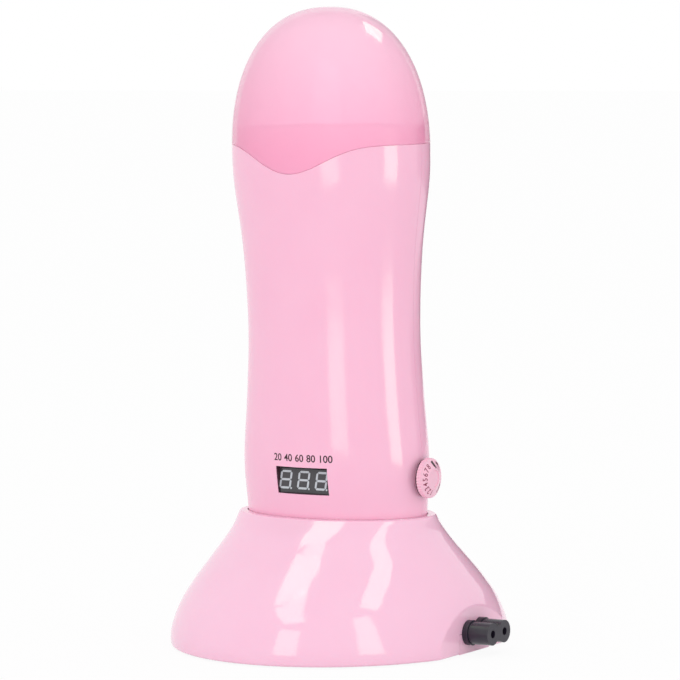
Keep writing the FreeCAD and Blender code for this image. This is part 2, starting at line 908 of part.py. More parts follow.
def cap():
    """The clear dome with the wave in its front edge."""
    outer = handle_form(0, chest_z, shoulder_z).fuse(dome_form(0))
    inner_w = shoulder_w - cap_wall
    inner_d = shoulder_d - cap_wall
    inner = oval_rod(inner_w, inner_d, chest_z - over, shoulder_z).fuse(dome_form(cap_wall))
    return outer.cut(inner).cut(below_rim(rim_gap))


# ---------------------------------------------------------------- base
def base_form(grow, z0, z1):
    """The base's form between two heights: a circle at the table, an oval at the top."""
    count = max(2, math.ceil((z1 - z0) / base_step))
    heights = [z0 + (z1 - z0) * i / count for i in range(count + 1)]
    wires = []
    for z in heights:
        w, d = size_at(BASE_LEVELS, z, False)
        wires.append(oval_wire(w + grow, d + grow, z))
    return Part.makeLoft(wires, True, False)


def post_places():
    places = []
    for i in range(4):
        angle = math.radians(45 + 90 * i)
        x = post_ring_r * math.cos(angle)
        y = post_ring_r * math.sin(angle)
        places.append(V(x, y, cover_top_z + pad_h))
    return places


def dock_screw_places():
    return [V(side * dock_screw_x, 0, retainer_top_z) for side in (-1, 1)]


def behind_pocket(depth):
    big = 2 * base_r
    return box(-big, pocket_x - depth, -big, big, -over, big)


def base_shell():
    """The base's skin with the handle's socket moulded into it."""
    outer = base_form(0, base_rim_z, top_z).common(behind_pocket(0)).Solids[0]
    flat = [e for e in outer.Edges if e.BoundBox.XMin > pocket_x - 0.01]
    outer = outer.makeFillet(pocket_round, [e for e in flat if e.BoundBox.ZLength > edge_round])
    top_edges = [e for e in outer.Edges if e.BoundBox.ZMin > top_z - 0.01]
    low_edges = [e for e in outer.Edges if e.BoundBox.ZMax < base_rim_z + 0.01]
    outer = outer.makeFillet(edge_round, top_edges + low_edges)
    space = base_form(-base_wall, base_rim_z, top_z - base_wall).common(behind_pocket(base_wall))
    grow = slide_fit + dock_wall
    dock = handle_form(grow, tail_z, lip_z)
    dock = dock.fuse(oval_rod(tail_w + grow, tail_d + grow, dock_under_z, tail_z))
    deep = base_form(-base_wall / 2, base_rim_z, top_z - base_wall)
    posts = [rod(post_r, p, AXIS_Z, top_z).common(deep) for p in post_places()]
    bosses = [rod(boss_r, p, AXIS_Z, base_wall) for p in dock_screw_places()]
    shell = joined([outer.cut(space), dock.common(outer)] + posts + bosses)
    hole_r = screw_r + touch / 2
    notch = tab_half + fit
    big = 2 * base_r
    coupler_start = V(pocket_x - 2 * base_wall, 0, coupler_z)
    cuts = [
        handle_form(slide_fit, tail_z, lip_z),
        oval_rod(lip_w + slide_fit, lip_d + slide_fit, lip_z, top_z + over),
        oval_rod(tail_w + slide_fit, tail_d + slide_fit, dock_floor_z, tail_z),
        figure_eight(fit, V(0, 0, dock_under_z - over), AXIS_Z, AXIS_Y, base_wall + 2 * over),
        figure_eight(fit, coupler_start, AXIS_X, AXIS_Y, 4 * base_wall),
        box(pocket_x - 2 * base_wall, big, -notch, notch, -over, coupler_z),
    ]
    for place in post_places():
        cuts.append(rod(hole_r, place, AXIS_Z, screw_len))
    for place in dock_screw_places():
        cuts.append(rod(hole_r, place, AXIS_Z, dock_screw_len - retainer_t + fit))
    return shell.cut(cuts)


def dock_coupler():
    """The upright figure-8 coupler in the socket's floor that feeds the handle."""
    bottom_z = retainer_top_z - 2 * retainer_t
    body = figure_eight(0, V(0, 0, bottom_z), AXIS_Z, AXIS_Y, dock_tip_z - bottom_z)
    half = inlet_half - cover_gap
    flange = stadium(half, inlet_r, retainer_top_z, dock_under_z)
    body = joined([body, flange])
    depth = dock_tip_z - mouth_len - bottom_z
    for side in (-1, 1):
        foot = V(0, side * half_pitch, bottom_z)
        body = body.cut(rod(dock_sleeve_r + touch / 2, foot, AXIS_Z, depth))
        body = body.cut(rod(dock_sleeve_in_r + fit, foot, AXIS_Z, dock_tip_z))
    return body


def contact(r_out, r_in, start, direction, length):
    """A contact sleeve, closed at its back with a solder tail."""
    back = 2 * sleeve_wall
    bore = rod(r_in, start + direction * back, direction, length)
    sleeve = rod(r_out, start, direction, length).cut(bore)
    return joined([sleeve, rod(tail_r, start, direction * -1, tail_len)])


def dock_contacts():
    bottom_z = retainer_top_z - 2 * retainer_t + touch
    length = dock_tip_z - mouth_len - touch - bottom_z
    contacts = []
    for side in (-1, 1):
        start = V(0, side * half_pitch, bottom_z)
        contacts.append(contact(dock_sleeve_r, dock_sleeve_in_r, start, AXIS_Z, length))
    return Part.makeCompound(contacts)


def dock_retainer():
    """The plate under the socket that clamps the upright coupler's flange."""
    z0 = retainer_top_z - retainer_t
    plate = rounded_rod(2 * retainer_half_x, 2 * retainer_half_y, screw_head_r, z0, retainer_top_z)
    plate = plate.cut(figure_eight(fit, V(0, 0, z0 - over), AXIS_Z, AXIS_Y, retainer_t + 2 * over))
    for place in dock_screw_places():
        start = place - AXIS_Z * (retainer_t + over)
        plate = plate.cut(rod(screw_r + fit, start, AXIS_Z, retainer_t + 2 * over))
    return plate


def dock_screws():
    seats = [p - AXIS_Z * retainer_t for p in dock_screw_places()]
    return Part.makeCompound([screw(s, AXIS_Z, dock_screw_len) for s in seats])


def side_coupler():
    """The black figure-8 coupler that stands out of the base's side."""
    back = V(coupler_back_x, 0, coupler_z)
    body = figure_eight(0, back, AXIS_X, AXIS_Y, coupler_face_x - coupler_back_x)
    collar_start = V(pocket_x + touch, 0, coupler_z)
    collar = figure_eight(collar_proud, collar_start, AXIS_X, AXIS_Y, collar_len)
    lock_start = V(pocket_x - base_wall - touch - lock_t, 0, coupler_z)
    lock = figure_eight(lock_proud, lock_start, AXIS_X, AXIS_Y, lock_t)
    body = joined([body, collar, lock])
    for side in (-1, 1):
        foot = V(coupler_back_x, side * half_pitch, coupler_z)
        depth = coupler_face_x - mouth_len - coupler_back_x
        body = body.cut(rod(sleeve_r + touch / 2, foot, AXIS_X, depth))
        body = body.cut(rod(mouth_r, foot, AXIS_X, coupler_face_x))
    return body


def side_contacts():
    end_x = coupler_face_x - mouth_len - touch
    contacts = []
    for side in (-1, 1):
        start = V(end_x - sleeve_len - 2 * sleeve_wall, side * half_pitch, coupler_z)
        length = sleeve_len + 2 * sleeve_wall
        contacts.append(contact(sleeve_r, socket_r, start, AXIS_X, length))
    return Part.makeCompound(contacts)


def base_leads():
    """Two leads from the side coupler's contacts to the upright coupler's."""
    start_x = coupler_face_x - mouth_len - touch - sleeve_len - 2 * sleeve_wall - tail_len
    end_z = retainer_top_z - 2 * retainer_t + touch - tail_len
    run_z = cover_top_z + 2 * lead_r
    leads = []
    for side in (-1, 1):
        y = side * half_pitch
        way_out = [V(start_x, y, coupler_z), V(start_x - lead_straight, y, coupler_z)]
        leads.append(lead(way_out + [V(0, y, run_z), V(0, y, end_z)], lead_r))
    return Part.makeCompound(leads)


def bottom_cover():
    """The plate that closes the base, with the tab that fills the shell's notch."""
    reach = base_r - rim_in - base_wall - cover_gap
    big = 2 * base_r
    plate = rod(reach, V(0, 0, cover_z), AXIS_Z, cover_t)
    plate = plate.common(box(-big, pocket_x - base_wall - cover_gap, -big, big, 0, big))
    pads = []
    for place in post_places():
        pads.append(rod(post_r + boss_wall, V(place.x, place.y, cover_top_z), AXIS_Z, pad_h))
    tab = box(pocket_x - base_wall, pocket_x, -tab_half, tab_half, base_rim_z, coupler_z - fit)
    step = box(pocket_x - 4 * base_wall, pocket_x, -tab_half, tab_half, cover_z, cover_top_z)
    cradle = box(cradle_x, cradle_x + cradle_t, -cradle_half, cradle_half, cover_z, coupler_z - fit)
    cover = joined([plate, step, tab, cradle] + pads)
    for place in post_places():
        low = V(place.x, place.y, 0)
        cover = cover.cut(rod(screw_head_r + fit, low, AXIS_Z, place.z - screw_seat_t))
        cover = cover.cut(rod(screw_r + fit, low, AXIS_Z, place.z + over))
    hole = figure_eight(fit, V(cradle_x - over, 0, coupler_z), AXIS_X, AXIS_Y, coupler_face_x)
    lock_x = pocket_x - base_wall - touch - lock_t
    room = figure_eight(lock_proud + fit, V(lock_x - fit, 0, coupler_z), AXIS_X, AXIS_Y, lock_t + fit)
    return cover.cut(hole).cut(room)


def cover_screws():
    seats = [p - AXIS_Z * screw_seat_t for p in post_places()]
    return Part.makeCompound([screw(s, AXIS_Z, screw_len) for s in seats])


def rubber_feet():
    feet = []
    for i in range(4):
        angle = math.radians(90 * i)
        centre = V(foot_ring_r * math.cos(angle), foot_ring_r * math.sin(angle), 0)
        foot = rod(foot_r, centre, AXIS_Z, cover_z)
        low = [e for e in foot.Edges if e.BoundBox.ZMax < 0.01]
        feet.append(foot.makeFillet(foot_round, low))
    return Part.makeCompound(feet)


# ---------------------------------------------------------------- export
front_half, rear_half = handle_shells()
PARTS = {
    "front_shell": front_half,
    "rear_shell": rear_half,
    "neck_ring": neck_ring(),
    "heating_chamber": heating_chamber(),
    "insulation_wrap": insulation_wrap(),
    "ptc_heater": ptc_heater(),
    "heater_clamp": heater_clamp(),
    "thermistor": thermistor(),
    "thermal_fuse": thermal_fuse(),
    "control_board": control_board(),
    "board_components": board_components(),
    "dial_board": dial_board(),
    "display_module": display_module(),
    "display_segments": display_segments(),
    "potentiometer": potentiometer(),
    "inlet_housing": inlet_housing(),
    "inlet_pins": inlet_pins(),
    "mains_leads": mains_leads(),
    "heater_leads": heater_leads(),
    "sensor_leads": sensor_leads(),
    "shell_screws": shell_screws(),
    "board_screws": board_screws(),
    "dial": dial(),
    "dial_shaft": dial_shaft(),
    "cap": cap(),
    "base_shell": base_shell(),
    "dock_coupler": dock_coupler(),
    "dock_contacts": dock_contacts(),
    "dock_retainer": dock_retainer(),
    "dock_screws": dock_screws(),
    "side_coupler": side_coupler(),
    "side_contacts": side_contacts(),
    "base_leads": base_leads(),
    "bottom_cover": bottom_cover(),
    "cover_screws": cover_screws(),
    "rubber_feet": rubber_feet(),
}

os.makedirs("parts", exist_ok=True)
for name, shape in PARTS.items():
    state = "valid" if shape.isValid() else "NOT VALID"
    print(f"{name}: {len(shape.Solids)} solids, {shape.Volume:.1f} mm3, {state}")
    shape.exportStep(f"parts/{name}.step")
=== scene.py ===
"""Looks of the roll-on wax heater: finishes, printed marks, dark linings of painted shade in gaps,
light and camera.
"""
import json
import math

import bmesh
import bpy
from mathutils import Matrix, Vector
from mathutils.bvhtree import BVHTree

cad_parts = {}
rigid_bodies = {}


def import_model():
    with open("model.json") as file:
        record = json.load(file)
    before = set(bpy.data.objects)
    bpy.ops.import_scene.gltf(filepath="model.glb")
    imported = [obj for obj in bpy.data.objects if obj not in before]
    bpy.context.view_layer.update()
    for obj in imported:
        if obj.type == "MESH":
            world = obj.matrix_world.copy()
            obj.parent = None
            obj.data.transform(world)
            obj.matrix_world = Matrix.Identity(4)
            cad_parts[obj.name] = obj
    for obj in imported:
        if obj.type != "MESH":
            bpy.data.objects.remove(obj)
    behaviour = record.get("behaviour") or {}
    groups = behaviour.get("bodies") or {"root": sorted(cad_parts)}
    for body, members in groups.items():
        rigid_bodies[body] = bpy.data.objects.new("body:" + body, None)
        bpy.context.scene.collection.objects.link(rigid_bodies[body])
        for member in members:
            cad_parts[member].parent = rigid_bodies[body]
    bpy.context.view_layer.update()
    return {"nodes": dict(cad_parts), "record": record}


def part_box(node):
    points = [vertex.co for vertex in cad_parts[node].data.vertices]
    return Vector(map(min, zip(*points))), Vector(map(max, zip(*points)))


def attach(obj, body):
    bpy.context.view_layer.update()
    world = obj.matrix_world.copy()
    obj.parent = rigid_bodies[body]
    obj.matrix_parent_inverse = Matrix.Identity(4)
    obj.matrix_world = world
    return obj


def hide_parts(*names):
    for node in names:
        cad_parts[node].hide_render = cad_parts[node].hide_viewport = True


MM = 0.001

for left_over in list(bpy.data.objects):
    bpy.data.objects.remove(left_over)
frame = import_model()
nodes = frame["nodes"]


# ---------------------------------------------------------------- colours and shader helpers
def shade(red, green, blue):
    """A display colour, 0 to 255 a channel, as the linear colour that shaders take."""
    channels = []
    for value in (red, green, blue):
        share = value / 255
        low = share <= 0.04045
        channels.append(share / 12.92 if low else ((share + 0.055) / 1.055) ** 2.4)
    return (*channels, 1.0)


MIX_FIRST, MIX_SECOND, MIX_RESULT = 6, 7, 2  # the Mix node's sockets for colours


class Finish:
    """One procedural material: a Principled shader with noise-driven colour, gloss and grain."""

    def __init__(self, name, roughness, **sockets):
        self.material = bpy.data.materials.new(name)
        self.material.use_nodes = True
        self.tree = self.material.node_tree
        self.shader = self.tree.nodes["Principled BSDF"]
        self.shader.inputs["Roughness"].default_value = roughness
        for socket, value in sockets.items():
            self.shader.inputs[socket.replace("_", " ")].default_value = value
        coords = self.tree.nodes.new("ShaderNodeTexCoord")
        self.place = coords.outputs["Object"]

    def noise(self, size, detail=2.0, stretch=None):
        """Noise whose features are about size millimetres across."""
        node = self.tree.nodes.new("ShaderNodeTexNoise")
        node.inputs["Scale"].default_value = 1 / (size * MM)
        node.inputs["Detail"].default_value = detail
        place = self.place
        if stretch:
            mapping = self.tree.nodes.new("ShaderNodeMapping")
            mapping.inputs["Scale"].default_value = stretch
            self.tree.links.new(place, mapping.inputs["Vector"])
            place = mapping.outputs["Vector"]
        self.tree.links.new(place, node.inputs["Vector"])
        return node.outputs["Fac"]

    def along(self, axis, start, end):
        """0 to 1 along one axis of the object, between two places in millimetres."""
        split = self.tree.nodes.new("ShaderNodeSeparateXYZ")
        self.tree.links.new(self.place, split.inputs["Vector"])
        return self.spread(split.outputs[axis], 0, 1, start * MM, end * MM)

    def spread(self, factor, low, high, start=0.35, end=0.65):
        """The factor stretched to run from low to high."""
        node = self.tree.nodes.new("ShaderNodeMapRange")
        ends = {"From Min": start, "From Max": end, "To Min": low, "To Max": high}
        for socket, value in ends.items():
            node.inputs[socket].default_value = value
        self.tree.links.new(factor, node.inputs["Value"])
        return node.outputs["Result"]

    def colour(self, first, second, factor):
        """The first colour where the factor is 0, and the second where it is 1."""
        mix = self.tree.nodes.new("ShaderNodeMix")
        mix.data_type = "RGBA"
        mix.inputs[MIX_FIRST].default_value = first
        mix.inputs[MIX_SECOND].default_value = second
        self.tree.links.new(factor, mix.inputs["Factor"])
        self.tree.links.new(mix.outputs[MIX_RESULT], self.shader.inputs["Base Color"])
        return self

    def gloss(self, factor, low, high):
        """Roughness from low to high by the factor."""
        self.tree.links.new(self.spread(factor, low, high), self.shader.inputs["Roughness"])
        return self

    def grain(self, factor, depth, strength=1.0):
        """Bump from the factor, up to depth millimetres."""
        bump = self.tree.nodes.new("ShaderNodeBump")
        bump.inputs["Strength"].default_value = strength
        bump.inputs["Distance"].default_value = depth * MM
        self.tree.links.new(factor, bump.inputs["Height"])
        self.tree.links.new(bump.outputs["Normal"], self.shader.inputs["Normal"])
        return self


def moulded(name, tint, deeper, roughness, grain_size, grain_depth, **sockets):
    """Moulded plastic: faint flow mottling, slightly uneven gloss and a fine skin."""
    mottle_size = 26
    gloss_size = 7
    smoothest, roughest = 0.85, 1.2
    plastic = Finish(name, roughness, **sockets)
    mottle = plastic.spread(plastic.noise(mottle_size, detail=3), 0, 1)
    plastic.colour(shade(*tint), shade(*deeper), mottle)
    patches = plastic.noise(gloss_size, detail=3)
    plastic.gloss(patches, roughness * smoothest, roughness * roughest)
    return plastic.grain(plastic.noise(grain_size, detail=2), grain_depth)


def metal(name, tint, deeper, roughness, stretch=None):
    """Drawn, turned or plated metal with fine marks."""
    stain_size = 4
    mark_size = 0.5
    mark_depth = 0.01
    smoothest, roughest = 0.7, 1.4
    plate = Finish(name, roughness, Metallic=1.0)
    stains = plate.spread(plate.noise(stain_size, detail=4), 0, 1)
    plate.colour(shade(*tint), shade(*deeper), stains)
    marks = plate.noise(mark_size, detail=3, stretch=stretch)
    plate.gloss(marks, roughness * smoothest, roughness * roughest)
    return plate.grain(marks, mark_depth)


# ---------------------------------------------------------------- finishes
# Each plastic's name, colour, deeper colour, roughness, and the size and depth of its grain in mm.
PINK_PLASTICS = {
    "shell": ("shell_pink_gloss", (253, 193, 218), (252, 190, 216), 0.12, 9, 0.012),
    "base": ("base_pink_gloss", (253, 202, 225), (252, 199, 223), 0.08, 9, 0.012),
    "ring": ("ring_pink", (253, 168, 202), (252, 164, 199), 0.3, 3, 0.01),
    "dial": ("dial_pink", (251, 200, 219), (250, 193, 214), 0.22, 0.7, 0.012),
}
PINK_SKIN = {"Subsurface_Weight": 0.12, "Subsurface_Radius": (0.004, 0.0016, 0.002)}
PLASTICS = {
    "coupler": ("coupler_black", (41, 35, 51), (34, 29, 43), 0.3, 0.5, 0.02),
    "retainer": ("retainer_white", (232, 230, 226), (222, 220, 214), 0.4, 1, 0.02),
    "rubber": ("foot_rubber", (42, 42, 43), (34, 34, 35), 0.75, 0.6, 0.04),
    "segment": ("segment_milk", (204, 209, 216), (192, 197, 204), 0.35, 1, 0.004),
    "board": ("board_green", (30, 104, 62), (24, 92, 54), 0.3, 0.8, 0.02),
    "component": ("component_black", (40, 40, 44), (30, 30, 33), 0.45, 0.5, 0.02),
    "heater": ("heater_foil", (214, 188, 140), (200, 172, 124), 0.35, 1.5, 0.03),
    "white": ("sheath_white", (232, 232, 228), (220, 220, 214), 0.45, 0.8, 0.01),
    "red": ("sheath_red", (186, 40, 34), (168, 32, 28), 0.45, 0.8, 0.01),
    "ink": ("printed_ink", (56, 16, 28), (48, 13, 24), 0.4, 0.4, 0.003),
    "red_ink": ("printed_red_ink", (150, 62, 92), (140, 55, 84), 0.4, 0.4, 0.003),
    # This dark finish is painted shade, for the shadowed gaps in the display window and behind the
    # dial.
    "shade_lining": ("window_gasket", (84, 44, 60), (76, 38, 54), 0.5, 0.4, 0.01),
}
# Each metal's name, colour, deeper colour, roughness, and how its marks are stretched.
METALS = {
    "aluminium": ("chamber_aluminium", (206, 206, 208), (190, 190, 193), 0.3, (1, 1, 0.05)),
    "steel": ("plated_steel", (186, 186, 190), (168, 168, 172), 0.28),
    "brass": ("contact_brass", (214, 182, 110), (198, 162, 92), 0.25),
}
# Where the colour of two finishes changes, in millimetres along an axis.
DISPLAY_DARK_Y = -22.4
DISPLAY_PALE_Y = -22.1
CAP_DEEP_Z = 188
CAP_PALE_Z = 236


def felt_finish():
    """The white insulation felt, with clumps and fibres."""
    felt = Finish("insulation_felt", 0.95)
    clumps = felt.spread(felt.noise(1.5, detail=5), 0, 1)
    felt.colour(shade(236, 234, 226), shade(214, 210, 198), clumps)
    fibres = felt.noise(0.6, detail=6, stretch=(1, 1, 0.35))
    return felt.grain(fibres, depth=0.25)


def display_finish():
    """The display: a dark face in front of a pale body."""
    display = Finish("display_face", 0.12)
    behind = display.along("Y", DISPLAY_DARK_Y, DISPLAY_PALE_Y)
    display.colour(shade(70, 68, 72), shade(196, 192, 194), behind)
    display.gloss(display.noise(3, detail=3), 0.1, 0.16)
    return display.grain(display.noise(5, detail=2), depth=0.004)


def cap_finish():
    """The see-through pink of the dome, deeper towards its rim."""
    cap = Finish("cap_clear_pink", 0.06, Alpha=0.6)
    upward = cap.along("Z", CAP_DEEP_Z, CAP_PALE_Z)
    cap.colour(shade(255, 166, 204), shade(255, 190, 219), upward)
    cap.gloss(cap.noise(7, detail=3), 0.05, 0.08)
    return cap.grain(cap.noise(11, detail=2), depth=0.01)


def finishes():
    """Every finish by name, for the nodes and the pieces."""
    made = {name: moulded(*values, **PINK_SKIN) for name, values in PINK_PLASTICS.items()}
    made.update({name: moulded(*values) for name, values in PLASTICS.items()})
    made.update({name: metal(*values) for name, values in METALS.items()})
    made.update(felt=felt_finish(), display=display_finish(), cap=cap_finish())
    return made


finish = finishes()
NODE_FINISH = {
    "shell": ["front_shell", "rear_shell"],
    "base": ["base_shell", "bottom_cover"],
    "ring": ["neck_ring"],
    "dial": ["dial"],
    "cap": ["cap"],
    "coupler": ["side_coupler", "dock_coupler", "inlet_housing"],
    "retainer": ["dock_retainer"],
    "rubber": ["rubber_feet"],
    "display": ["display_module"],
    "segment": ["display_segments"],
    "aluminium": ["heating_chamber"],
    "steel": [
        "heater_clamp",
        "potentiometer",
        "dial_shaft",
        "shell_screws",
        "board_screws",
        "dock_screws",
        "cover_screws",
    ],
    "brass": ["inlet_pins", "dock_contacts", "side_contacts"],
    "board": ["control_board", "dial_board"],
    "component": ["board_components", "thermistor"],
    "heater": ["ptc_heater"],
    "white": ["thermal_fuse", "mains_leads", "sensor_leads", "base_leads"],
    "red": ["heater_leads"],
    "felt": ["insulation_wrap"],
}
for finish_name, node_names in NODE_FINISH.items():
    for node_name in node_names:
        mesh = nodes[node_name].data
        mesh.materials.clear()
        mesh.materials.append(finish[finish_name].material)


# ---------------------------------------------------------------- pieces
def smooth_outward(mesh):
    """Smooth shading, with every face turned outward."""
    form = bmesh.new()
    form.from_mesh(mesh)
    bmesh.ops.recalc_face_normals(form, faces=form.faces[:])
    form.to_mesh(mesh)
    form.free()
    for face in mesh.polygons:
        face.use_smooth = True


def add_piece(mesh, finish_name, body):
    """A piece of the model, named as its mesh is, that rides on a body."""
    mesh.materials.append(finish[finish_name].material)
    piece = bpy.data.objects.new(mesh.name, mesh)
    bpy.context.scene.collection.objects.link(piece)
    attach(piece, body)
    return piece


def grid_faces(rows, columns, closed=False):
    """Faces between rings of corners. Each ring closes on itself; closed joins the last ring to
    the first."""
    faces = []
    for row in range(rows if closed else rows - 1):
        low = row * columns
        high = (row + 1) % rows * columns
        for column in range(columns):
            after = (column + 1) % columns
            faces.append((low + column, low + after, high + after, high + column))
    return faces


# ---------------------------------------------------------------- cap
# The handle's form as the CAD has it, in millimetres.
CHEST_Z = 150.0
CHEST_SIZE = (36.8, 26.4)
CHEST_SLOPE = (0.075, 0.069)
SHOULDER_Z = 188.0
SHOULDER_SIZE = (40.7, 29.7)
DOME_HEIGHT = 55.3
DOME_POWER = 2.27
RIM_Z = 191.5
RIM_GAP = 0.06
DIP_DEPTH = 10.4
DIP_HALF_WIDTH = 40.0
CAP_WALL = 1.8
EDGE_ROUND = 0.3


def outer_size(z):
    """Half width and half depth of the handle's form at height z, in millimetres."""
    if z >= SHOULDER_Z:
        rise = min((z - SHOULDER_Z) / DOME_HEIGHT, 1.0)
        share = (1 - rise**DOME_POWER) ** (1 / DOME_POWER)
        return [size * share for size in SHOULDER_SIZE]
    span = SHOULDER_Z - CHEST_Z
    t = (z - CHEST_Z) / span
    halves = []
    for low, slope, high in zip(CHEST_SIZE, CHEST_SLOPE, SHOULDER_SIZE):
        start = (2 * t**3 - 3 * t**2 + 1) * low + (t**3 - 2 * t**2 + t) * span * slope
        halves.append(start + (3 * t**2 - 2 * t**3) * high)
    return halves


def inner_size(z):
    """The same for the inside of the cap, a wall's thickness further in."""
    if z <= SHOULDER_Z:
        return [size - CAP_WALL for size in SHOULDER_SIZE]
    rise = min((z - SHOULDER_Z) / (DOME_HEIGHT - CAP_WALL), 1.0)
    share = (1 - rise**DOME_POWER) ** (1 / DOME_POWER)
    return [(size - CAP_WALL) * share for size in SHOULDER_SIZE]


def rim_height(x, y):
    """Height of the rim line at a place: it dips in a wave at the front."""
    if y > 0 or abs(x) > DIP_HALF_WIDTH:
        return RIM_Z
    return RIM_Z - DIP_DEPTH * (1 - (x / DIP_HALF_WIDTH) ** 2) ** 4


def dome_ring(columns, size_of, rise, height, edge_up=0.0, edge_in=0.0):
    """One ring of the cap's skin, a share rise of the way from the rim line up to height."""
    corners = []
    rim_w, rim_d = size_of(RIM_Z)
    for column in range(columns):
        angle = 2 * math.pi * column / columns
        foot = rim_height(rim_w * math.cos(angle), rim_d * math.sin(angle)) + RIM_GAP + edge_up
        z = foot + (height - foot) * rise
        w, d = size_of(z)
        corners.append(((w - edge_in) * math.cos(angle), (d - edge_in) * math.sin(angle), z))
    return corners


def cap_form():
    """The clear dome: outside, rounded lower edge and inside as one closed skin."""
    columns = 288
    rows = 96
    edge_steps = 4
    top = SHOULDER_Z + DOME_HEIGHT
    rises = [math.sin(math.pi / 2 * row / rows) ** (2 / DOME_POWER) for row in range(rows)]
    rings = [dome_ring(columns, outer_size, rise, top, edge_up=EDGE_ROUND) for rise in rises[::-1]]
    for step in range(1, edge_steps + 1):
        turn = math.pi / 2 * step / edge_steps
        edge_up = EDGE_ROUND * (1 - math.sin(turn))
        edge_in = EDGE_ROUND * (1 - math.cos(turn))
        rings.append(dome_ring(columns, outer_size, 0, top, edge_up, edge_in))
    rings += [dome_ring(columns, inner_size, rise, top - CAP_WALL) for rise in rises]
    corners = [corner for ring in rings for corner in ring]
    faces = grid_faces(len(rings), columns)
    outer_pole = len(corners)
    corners.append((0, 0, top))
    inner_pole = len(corners)
    corners.append((0, 0, top - CAP_WALL))
    last = (len(rings) - 1) * columns
    for column in range(columns):
        after = (column + 1) % columns
        faces.append((after, column, outer_pole))
        faces.append((last + column, last + after, inner_pole))
    mesh = bpy.data.meshes.new("cap_dome")
    mesh.from_pydata([Vector(corner) * MM for corner in corners], [], faces)
    smooth_outward(mesh)
    piece = add_piece(mesh, "cap", "cap")
    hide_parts("cap")
    piece.visible_shadow = False


cap_form()


# ---------------------------------------------------------------- printed marks
DIGIT_SHARE = 0.7  # of the font's size
STROKE_SPREAD = 0.02  # of a digit's height
INK_DEPTH = 0.03 * MM
PRINT_LIFT = 2 * MM  # how far in front of its carrier a print is held before it drops


def flat_mesh(name, outlines):
    """A mesh of flat shapes, each a list of (u, v) corners in metres."""
    mesh = bpy.data.meshes.new(name)
    corners = []
    faces = []
    for outline in outlines:
        faces.append(tuple(range(len(corners), len(corners) + len(outline))))
        corners += [(u, v, 0) for u, v in outline]
    mesh.from_pydata(corners, [], faces)
    return mesh


def number_mesh(words, height):
    """The words as a flat mesh, centred on its middle, with digits that are height metres tall."""
    curve = bpy.data.curves.new("digits", "FONT")
    curve.body = words
    curve.size = height / DIGIT_SHARE
    curve.offset = height * STROKE_SPREAD
    curve.align_x = "CENTER"
    curve.align_y = "CENTER"
    holder = bpy.data.objects.new("digits", curve)
    bpy.context.scene.collection.objects.link(holder)
    bpy.context.view_layer.update()
    mesh = bpy.data.meshes.new_from_object(holder)
    bpy.data.objects.remove(holder)
    bpy.data.curves.remove(curve)
    return mesh


def printed(name, meshes, carrier, body, ink="ink"):
    """One print on a CAD node. meshes is a list of (mesh, matrix): flat shapes and where each is held
    in front of the carrier. Each corner drops along the shape's own -Z onto the carrier."""
    surface = BVHTree.FromObject(nodes[carrier], bpy.context.evaluated_depsgraph_get())
    print_form = bmesh.new()
    for mesh, place in meshes:
        part = bmesh.new()
        part.from_mesh(mesh)
        bmesh.ops.triangulate(part, faces=part.faces[:])
        bmesh.ops.subdivide_edges(part, edges=part.edges[:], cuts=2, use_grid_fill=True)
        part.transform(place)
        down = -(place.to_3x3() @ Vector((0, 0, 1))).normalized()
        for corner in part.verts:
            hit = surface.ray_cast(corner.co, down)[0]
            if hit is None:
                raise ValueError(f"{name} misses {carrier}")
            corner.co = hit - down * INK_DEPTH
        landed = bpy.data.meshes.new("landed")
        part.to_mesh(landed)
        part.free()
        print_form.from_mesh(landed)
        bpy.data.meshes.remove(landed)
        bpy.data.meshes.remove(mesh)
    mesh = bpy.data.meshes.new(name)
    print_form.to_mesh(mesh)
    print_form.free()
    for face in mesh.polygons:
        face.use_smooth = True
    add_piece(mesh, ink, body)


def ring_sector(inner, outer, start, end, taper=0.0):
    """Corners of a band round the origin, clockwise from the top, in millimetres and degrees; taper
    narrows its far end."""
    steps = 12
    outside = []
    inside = []
    for step in range(steps + 1):
        share = step / steps
        turn = math.radians(start + (end - start) * share)
        narrow = (outer - inner) * taper * share
        outside.append((outer * MM * math.sin(turn), outer * MM * math.cos(turn)))
        low = (inner + narrow) * MM
        inside.append((low * math.sin(turn), low * math.cos(turn)))
    return outside + inside[::-1]


def dial_print():
    """Plain numbers round the left of the dial's face, and dark pointer strokes at its right."""
    number_height = 1.9 * MM
    number_reach = 5.4 * MM
    numbers = 8
    first_angle = 192
    angle_step = 19.5
    low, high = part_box("dial")
    centre = Vector((high.x + PRINT_LIFT, (low.y + high.y) / 2, (low.z + high.z) / 2))
    facing = Matrix(((0, 0, 1), (1, 0, 0), (0, 1, 0))).to_4x4()
    held = Matrix.Translation(centre) @ facing
    meshes = []
    for step in range(numbers):
        turn = math.radians(first_angle + angle_step * step)
        number = number_mesh(str(step + 1), number_height)
        reach = Matrix.Translation((number_reach * math.sin(turn), number_reach * math.cos(turn), 0))
        meshes.append((number, held @ reach @ Matrix.Rotation(-turn, 4, "Z")))
    printed("dial_numbers", meshes, "dial", "dial", "red_ink")
    strokes = [
        [(-0.7 * MM, 6.3 * MM), (0.6 * MM, 6.7 * MM), (2.0 * MM, 3.9 * MM), (0.8 * MM, 3.5 * MM)],
        ring_sector(6.1, 6.9, 28, 46),
        ring_sector(5.7, 6.9, 114, 150, taper=0.6),
    ]
    printed("dial_pointer", [(flat_mesh("pointer", strokes), held)], "dial", "dial")


